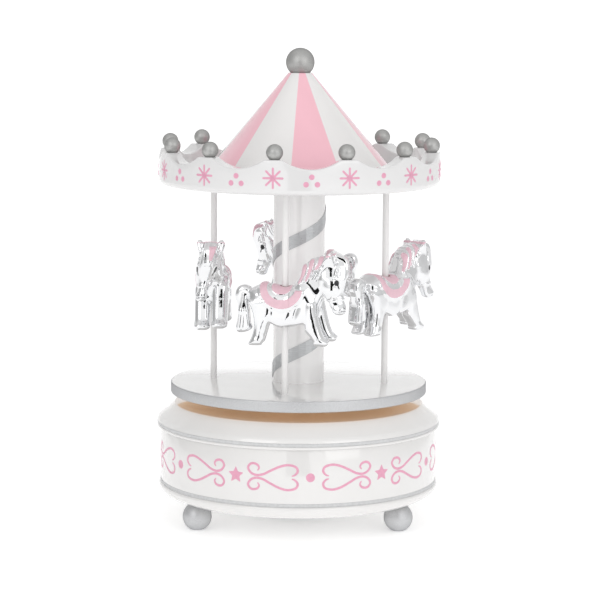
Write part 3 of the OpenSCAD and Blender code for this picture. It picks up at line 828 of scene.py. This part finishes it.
class Clay:
    """A distance field on a grid, in millimetres, built up from blended shapes."""

    def __init__(self, low, high, step):
        self.low, self.step = np.array(low, float), step
        counts = [int((h - l) / step) + 1 for l, h in zip(low, high)]
        axes = [l + step * np.arange(n) for l, n in zip(low, counts)]
        self.x, self.y, self.z = np.meshgrid(*axes, indexing="ij")
        self.field = np.full(self.x.shape, 1e3)

    def slab(self, outline, middle, half, rounding, crown=0.0, reach=5.0):
        """An upright slab cut to an outline, half its thickness to each side of middle, its edges rounded.

        Its sides are domed: crown is how far they fall away over the last reach before the outline."""
        flat = outline_distance(self.x[:, 0, :], self.z[:, 0, :], outline)[:, None, :]
        half = half - crown * np.clip(1 + flat / reach, 0, 1) ** 2
        a, b = flat + rounding, np.abs(self.y - middle) - half + rounding
        return np.minimum(np.maximum(a, b), 0) + np.hypot(np.maximum(a, 0), np.maximum(b, 0)) - rounding

    def limb(self, balls):
        """A chain of tapering rods; each ball is (x, y, z, radius)."""
        shape = np.full(self.x.shape, 1e3)
        for (x0, y0, z0, r0), (x1, y1, z1, r1) in zip(balls, balls[1:]):
            d = np.array([x1 - x0, y1 - y0, z1 - z0])
            px, py, pz = self.x - x0, self.y - y0, self.z - z0
            t = np.clip((px * d[0] + py * d[1] + pz * d[2]) / (d @ d), 0, 1)
            far = np.sqrt((px - t * d[0]) ** 2 + (py - t * d[1]) ** 2 + (pz - t * d[2]) ** 2)
            shape = smooth_min(shape, far - (r0 + (r1 - r0) * t), 0.6)
        return shape

    def egg(self, centre, radii, middle=0.0):
        """A pair of ellipsoids, one to each side of middle."""
        p = [self.x - centre[0], np.abs(self.y - middle) - centre[1], self.z - centre[2]]
        k0 = np.sqrt(sum((q / r) ** 2 for q, r in zip(p, radii)))
        k1 = np.sqrt(sum((q / r**2) ** 2 for q, r in zip(p, radii)))
        return k0 * (k0 - 1) / np.maximum(k1, 1e-6)

    def add(self, shape, blend=1.5):
        self.field = smooth_min(self.field, shape, blend)

    def cut(self, shape, blend=0.5):
        self.field = smooth_max(self.field, -shape, blend)

    def raise_by(self, height):
        self.field = self.field - height

    def skin(self):
        """Vertices (mm) and quads of the surface where the field is zero."""
        f = self.field
        inside = f < 0
        corner = [(i, j, k) for i in (0, 1) for j in (0, 1) for k in (0, 1)]
        n = np.array(f.shape) - 1

        def part(a, c):
            return a[c[0]:c[0] + n[0], c[1]:c[1] + n[1], c[2]:c[2] + n[2]]

        count = sum(part(inside, c).astype(int) for c in corner)
        cells = np.argwhere((count > 0) & (count < 8))
        number = -np.ones(n, int)
        number[tuple(cells.T)] = np.arange(len(cells))
        total, hits = np.zeros((len(cells), 3)), np.zeros(len(cells))
        for a in corner:
            for axis in range(3):
                if a[axis]:
                    continue
                b = list(a)
                b[axis] = 1
                fa = f[tuple((cells + a).T)]
                fb = f[tuple((cells + b).T)]
                cross = (fa < 0) != (fb < 0)
                t = np.where(cross, fa / np.where(cross, fa - fb, 1), 0)
                spot = np.array(a) + np.zeros((len(cells), 3))
                spot[:, axis] += t
                total += spot * cross[:, None]
                hits += cross
        points = self.low + self.step * (cells + total / hits[:, None])
        quads = []
        for axis in range(3):
            b, c = (axis + 1) % 3, (axis + 2) % 3
            one = [slice(None)] * 3
            two = [slice(None)] * 3
            one[axis], two[axis] = slice(0, -1), slice(1, None)
            edges = np.argwhere(inside[tuple(one)] != inside[tuple(two)])
            keep = (edges[:, b] > 0) & (edges[:, c] > 0) & (edges[:, b] < n[b]) & (edges[:, c] < n[c])
            edges = edges[keep]
            step_b, step_c = np.zeros(3, int), np.zeros(3, int)
            step_b[b], step_c[c] = 1, 1
            around = (step_b + step_c, step_c, 0 * step_b, step_b)
            quad = np.stack([number[tuple((edges - s).T)] for s in around], 1)
            out = inside[tuple(edges.T)]
            quad[~out] = quad[~out][:, ::-1]
            quads.append(quad)
        return points, np.concatenate(quads)


# the horse's side view: outlines and places as (x, z), locks as (start, end, two radii)
SADDLE = (-0.8, 21.5)
BLANKET, OPENING, SEAT = (7.8, 8.0), (5.3, 4.8), (3.7, 2.8)
BLANKET_TOP = 20.2
EYE, NOSTRIL = (19.2, 23.1), (22.3, 14.1)
TRUNK = [(-12.9, 18.2), (-12.5, 19.9), (-10.2, 21.4), (-8, 22.1), (-6.5, 22.1), (-4.5, 21.4), (0, 20.5),
         (3, 21.2), (6, 23.5), (10, 21), (12.3, 16), (12.5, 13), (12.1, 10.6), (9, 8.4), (5.6, 7.5),
         (1.2, 6.6), (-1.9, 6.6), (-5.1, 8), (-9, 9), (-11.6, 12.6), (-12.7, 15.9)]
NECK = [(3.6, 19.5), (4.5, 22.3), (5.0, 24.4), (6.5, 28.0), (9, 30.2), (11.4, 31.4), (15.1, 32.3),
        (18, 32.2), (18.5, 28), (16.6, 21), (15.2, 18.4), (14.3, 18.4), (12.6, 15.5), (8, 15)]
HEAD = [(14, 31.2), (17.6, 33.1), (20.4, 32.0), (21.9, 31.0), (22.7, 28.9), (22.7, 25), (21.5, 19.6),
        (21.9, 16.2), (22.5, 14.4), (22.3, 12.1), (19.8, 11.4), (18.0, 12.2), (17.1, 14.6), (15.7, 16.6),
        (13.6, 20), (12.8, 26)]
FORELOCK = [(17.4, 33.3), (20.4, 32.4), (22.2, 31.4), (23.1, 28.9), (23.1, 25.3), (21.8, 25.0), (20.8, 29),
            (18, 31)]
FORELEG = [(8, 15), (7.4, 6.8), (9.3, 3.5), (10.8, 1.8), (11.1, 0.3), (12.8, -0.1), (15.4, 0.0),
           (16.4, 1.6), (14.6, 3.5), (13.4, 6.9), (12.4, 11), (11, 16)]
HIND_LEG = [(-12.8, 16.5), (-11.5, 12.8), (-10.8, 8.2), (-11.1, 5.1), (-12, 2.2), (-12.9, 0.4), (-12, -0.1),
            (-8.6, -0.1), (-7.8, 0.4), (-6.8, 3.5), (-5.9, 6.6), (-5.1, 8.6), (-4, 12), (-5, 17)]
TAIL = [(-11.2, 18.8), (-12.7, 20.7), (-14.6, 21.4), (-16.3, 21.1), (-17.7, 19.6), (-18.1, 17.1),
        (-17.3, 14.7), (-17, 11.6), (-17.4, 8.2), (-17.9, 5.4), (-16.9, 4.0), (-14.2, 4.2), (-11.9, 5.5),
        (-12.6, 8), (-13.1, 12), (-13.2, 16)]
EAR = [(13.4, 27.0), (13.9, 30.4), (15.2, 32.3), (16.6, 33.9), (17.5, 31.8), (18.2, 28.5), (16, 26.4)]
PINK_LOCKS = [((7.4, 28.6), (5.4, 22.7), 1.05, 0.45), ((10.0, 30.8), (8.0, 23.7), 1.0, 0.4),
              ((13.4, 31.8), (11.6, 28.0), 1.1, 0.45), ((15.4, 32.6), (18.2, 33.2), 0.55, 0.3)]
PLATED_LOCKS = [((8.8, 29.8), (6.6, 23.2), 0.8, 0.3), ((11.8, 31.3), (9.7, 24.6), 0.95, 0.3),
                ((13.2, 28.4), (11.4, 24.2), 0.8, 0.3), ((15.6, 31.8), (13.6, 27.6), 0.9, 0.35)]


def saddle_ring(x, z, across, down):
    """Distance-like value of an upright ellipse round the saddle, in millimetres."""
    return (np.hypot((x - SADDLE[0]) / across, (z - SADDLE[1]) / down) - 1) * across


def lock_depth(x, z, lock):
    """How far inside a tapering lock of hair a place is, from 1 on its ridge to 0 at its edge."""
    (x0, z0), (x1, z1), r0, r1 = lock
    dx, dz = x1 - x0, z1 - z0
    t = np.clip(((x - x0) * dx + (z - z0) * dz) / (dx * dx + dz * dz), 0, 1)
    bow = 0.35 * np.sin(math.pi * t)
    return 1 - np.hypot(x - x0 - t * dx - bow, z - z0 - t * dz) / (r0 + (r1 - r0) * t)


def head_lean(z):
    """Sideways place of the head's middle: the muzzle hangs to the horse's right."""
    return -3.2 * np.clip((31 - z) / 18, 0, 1.1)


def sculpt_horse(step):
    """The horse in millimetres: it faces +X, its hooves at z = 0, the pole through its origin."""
    clay = Clay((-20.5, -8, -0.6), (25.5, 8, 35.5), step)
    x, y, z = clay.x, clay.y, clay.z
    # trunk, creased behind the shoulder, and neck
    crease = np.exp(-(((x - 3.2 - 0.3 * (z - 9)) / 1.3) ** 2)) * np.clip((17 - z) / 3, 0, 1)
    rounding = np.interp(z, [8, 12, 19], [1.6, 2.6, 4.2])
    clay.add(clay.slab(TRUNK, 0, 5.9 - 0.5 * crease, rounding, 0.3, 4.0))
    neck = clay.slab(NECK, 0, np.interp(z, [18, 24, 32], [4.7, 4.1, 3.2]), 2.0, 0.8, 4.0)
    clay.add(neck, 1.6)
    # head: a long wedge with a flat nose, round cheeks and a boxy muzzle
    lean = head_lean(z)
    wedge = np.interp(z, [12, 16, 20, 24, 29, 32], [2.4, 2.4, 2.9, 3.7, 3.6, 2.8])
    wedge = wedge - 0.2 * np.clip(x - 17, 0, 6)
    skull = clay.slab(HEAD, lean, wedge, 1.0, 0.5, 3.0)
    clay.add(skull, 1.0)
    clay.add(clay.egg((17.0, 1.5, 22.0), (3.1, 2.3, 3.9), lean), 0.9)
    clay.add(clay.egg((20.3, 0.8, 13.5), (2.2, 1.5, 1.8), lean), 0.7)
    # legs, close together in pairs, each hoof a little wider than the leg above it
    for side, reach, lift in ((-1, 0, 0), (1, 2.4, 1.0)):
        wide = np.interp(z, [0, 2.2, 3.4, 8], [3.3, 3.2, 2.95, 3.0])
        foreleg = [(px + reach, pz + lift) for px, pz in FORELEG]
        clay.add(clay.slab(foreleg, side * 3.3, wide, 1.8, 0.5, 2.5), 0.8)
        clay.add(clay.slab(HIND_LEG, side * 3.3, wide, 1.8, 0.5, 2.5), 0.8)
    # tail: a broad strip with a ridge down each side that forks near the rump
    clay.add(clay.slab(TAIL, 0, 2.5, 1.7), 0.5)
    for side in (-1, 1):
        rear = [(-14.8, side * 1.5, 17.8, 1.1), (-15.7, side * 1.9, 12, 1.1), (-16.4, side * 1.9, 5.6, 1.1)]
        fore = [(-14.8, side * 1.5, 17.8, 1.0), (-14.0, side * 1.9, 12, 0.9), (-13.3, side * 1.9, 6.5, 0.9)]
        clay.add(clay.limb(rear), 0.35)
        clay.add(clay.limb(fore), 0.35)
    # ears, set wide
    for side in (-1, 1):
        spread = side * np.interp(z, [27, 34.5], [2.2, 4.3])
        ear = clay.slab(EAR, spread, np.interp(z, [28, 32, 35], [1.5, 1.25, 0.45]), 0.4)
        clay.add(ear, 0.35)
        clay.cut(clay.limb([(18.5, side * 3.0, 30.2, 0.8), (17.8, side * 3.8, 33.0, 0.3)]), 0.3)
    # forelock, a thick tongue of hair that ends in a step on the forehead
    forelock = clay.slab(FORELOCK, 0.1 + lean, np.interp(z, [25, 31], [1.5, 2.1]), 0.5)
    clay.add(forelock - 0.1 * np.cos(2.9 * y), 0.35)
    # mane: tapering locks laid over both sides of the neck
    hair = np.zeros_like(x)
    for lock in PINK_LOCKS + PLATED_LOCKS:
        hair = np.maximum(hair, np.sqrt(np.clip(lock_depth(x, z, lock), 0, 1)))
    on_neck = smooth_min(neck, clay.field + 0.4, 0.5)
    clay.add(np.where(hair > 0, on_neck - 0.95 * hair, 1e3), 0.2)
    # saddle: scalloped fringe, blanket, and seat, each a step above the last
    turn = np.arctan2(z - SADDLE[1], x - SADDLE[0])
    fringe = saddle_ring(x, z, 8.5, 8.5 + 0.9 * np.abs(np.cos(8 * turn)))

    def plate(value, edge=0.3):
        return np.clip(0.5 - value / edge, 0, 1)

    front_end = plate(-(BLANKET_TOP - z) * (x > 2))
    cloth = plate(saddle_ring(x, z, *BLANKET)) * front_end - plate(saddle_ring(x, z, *OPENING))
    height = 0.38 * plate(fringe) * front_end + 0.3 * np.clip(cloth, 0, 1)
    height = height + 0.35 * plate(saddle_ring(x, z, *SEAT))
    clay.raise_by(np.where((z > 9) & (np.abs(x) < 10), height, 0))
    # bridle: a band round the nose
    clay.add(smooth_max(np.abs(z - 17 - 0.1 * (x - 19)) - 0.4, skull - 0.3, 0.3), 0.2)
    strap = np.abs(x - 17.6 - 0.22 * (z - 19)) - 0.3
    clay.add(smooth_max(smooth_max(strap, skull - 0.55, 0.3), np.abs(z - 22.5) - 5.5, 0.3), 0.2)
    # eyes, nostrils and mouth
    clay.add(clay.egg((18.8, 2.9, 24.7), (1.5, 0.8, 0.45), lean), 0.35)
    clay.add(clay.egg((EYE[0], 2.9, EYE[1]), (0.8, 0.6, 1.1), lean), 0.25)
    clay.cut(clay.egg((NOSTRIL[0], 1.3, NOSTRIL[1]), (0.6, 0.5, 0.45), lean), 0.3)
    clay.cut(np.maximum(np.abs(z - 12.7 - 0.15 * (x - 20)) - 0.12, 19.9 - x), 0.3)
    return clay


def relax(points, quads, rounds):
    """Evens the surface out a little, in place of hand polishing."""
    pairs = np.concatenate([quads[:, [0, 1]], quads[:, [1, 2]], quads[:, [2, 3]], quads[:, [3, 0]]])
    n = len(points)
    degree = np.bincount(pairs.ravel(), minlength=n)
    for _ in range(rounds):
        total = np.zeros_like(points)
        for axis in range(3):
            total[:, axis] = np.bincount(pairs[:, 0], points[pairs[:, 1], axis], n)
            total[:, axis] += np.bincount(pairs[:, 1], points[pairs[:, 0], axis], n)
        points = points * 0.5 + 0.5 * total / degree[:, None]
    return points


def paint_of(c):
    """Paint of each face centre: 1 pink, 2 black, 3 dark red painted shade in the pole hole, else plated."""
    x, y, z = c.T
    blanket = (saddle_ring(x, z, *BLANKET) < 0) & (saddle_ring(x, z, *OPENING) > 0)
    blanket &= (z > 9) & ((z < BLANKET_TOP) | (x < 2))
    seat = (saddle_ring(x, z, *SEAT) < 0) & (z > 15)
    mane = np.zeros(len(c), bool)
    for k, lock in enumerate(PINK_LOCKS):
        mane |= (lock_depth(x, z, lock) > 0.15) & (z > 22.6) & ((np.abs(y) > 1.7) | (k == 3))
    off = y - head_lean(z)
    forelock = (x > 19) & (z > 26.8) & (z < 31.9) & (np.abs(off - 1.2) < 0.4 + 0.2 * (z - 26.8))
    eye = np.hypot((x - EYE[0]) / 0.8, (z - EYE[1]) / 1.05) < 1
    tear = (np.abs(x - 19.6 - 0.3 * (22.4 - z)) < 0.22) & (z > 20.9) & (z < 22.4)
    black = (eye | tear) & (np.abs(off) > 1.6)
    nostril = ((x - NOSTRIL[0]) / 0.6) ** 2 + ((np.abs(off) - 1.3) / 0.4) ** 2
    nostril += ((z - NOSTRIL[1]) / 0.36) ** 2
    black |= nostril < 1
    # the hole round the pole is not cut: a dark red patch paints the shade inside it
    painted_hole_shade = (np.hypot(x, y) < 1.9) & (z > 19)
    paint = (blanket | seat | mane | forelock).astype(int)
    paint[black] = 2
    paint[painted_hole_shade] = 3
    return paint


def make_horses(mats):
    """The same figure four times, each at its own height and heading on its pole."""
    grid = 0.26
    points, quads = sculpt_horse(grid).skin()
    points = relax(points, quads, rounds=2)
    painted = paint_of(points[quads].mean(1))
    paints = [mats[k].material for k in ("chrome", "saddle", "black", "socket")]
    headings = {"front": -7, "right": 45, "rear": 172, "left": 268}
    for where, heading in headings.items():
        pole_low, pole_high = size_mm("pole_" + where)
        middle = (pole_low + pole_high) / 2
        a = math.radians(heading)
        turn = np.array([[math.cos(a), -math.sin(a), 0], [math.sin(a), math.cos(a), 0], [0, 0, 1]])
        placed = (points @ turn.T + np.array([middle.x, middle.y, size_mm("horse_" + where)[0].z])) * MM
        figure = add_mesh("horse_" + where + "_figure", placed.tolist(), quads.tolist(), paints)
        figure.data.polygons.foreach_set("material_index", painted)
        finish_piece(figure, "carousel", "horse_chrome", "horse_" + where)


# ---------------------------------------------------------------- what the CAD shows as it is

def dress_cad_nodes(mats):
    """Gives every CAD node the material of its slot in the record."""
    finish = {
        "white_lacquer": "lacquer", "silver_paint": "silver", "bare_wood": "wood", "pink_paint": "pink",
        "white_pole": "plastic", "horse_chrome": "chrome", "steel": "steel", "brass": "brass",
        "zinc": "zinc", "foil": "foil",
    }
    for row in frame["record"]["subparts"]:
        node = frame["nodes"][row["node"]]
        material = mats[finish[row["material_slot"]]].material
        if not node.material_slots:
            node.data.materials.append(material)
        for place in node.material_slots:
            place.material = material


make_camera()
make_studio()
materials = make_materials()
dress_cad_nodes(materials)
make_base(materials)
make_balls(materials)
make_turntable(materials)
make_canopy(materials)
make_drum_print(materials)
make_ring_print(materials)
make_horses(materials)

bpy.context.view_layer.update()
